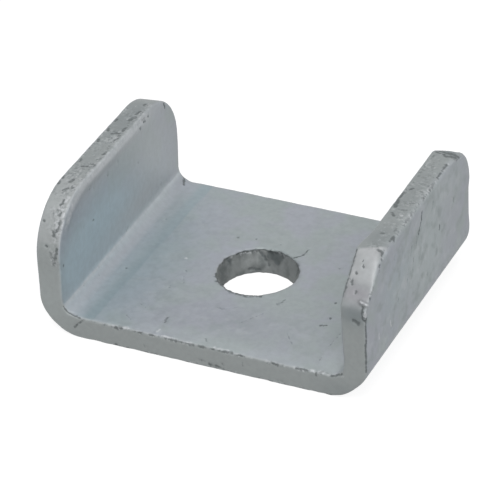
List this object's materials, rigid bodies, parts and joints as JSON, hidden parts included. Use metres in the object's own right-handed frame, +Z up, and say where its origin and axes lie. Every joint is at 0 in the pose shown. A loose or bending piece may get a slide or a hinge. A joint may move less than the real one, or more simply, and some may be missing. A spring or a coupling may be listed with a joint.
{
  "type": "u-shaped strut washer",
  "caption": "U-shaped strut washer: a galvanised steel strip bent up at both ends into round-cornered flanges that straddle a strut channel, with a bolt bore in its base.",
  "frame": {"origin": "on the bore axis at the underside of the base, which is the bottom centre of the washer's box", "axes": "+Z up along the bore, on the side the flanges point to; X across the strut from flange to flange; Y along the strut"},
  "size_m": [0.05, 0.038, 0.0205],
  "materials": {
    "galvanised": "hot-dip galvanised, satin, with small zinc lumps and dark nicks"
  },
  "bodies": {
    "root": {"washer": "galvanised"}
  },
  "joints": []
}
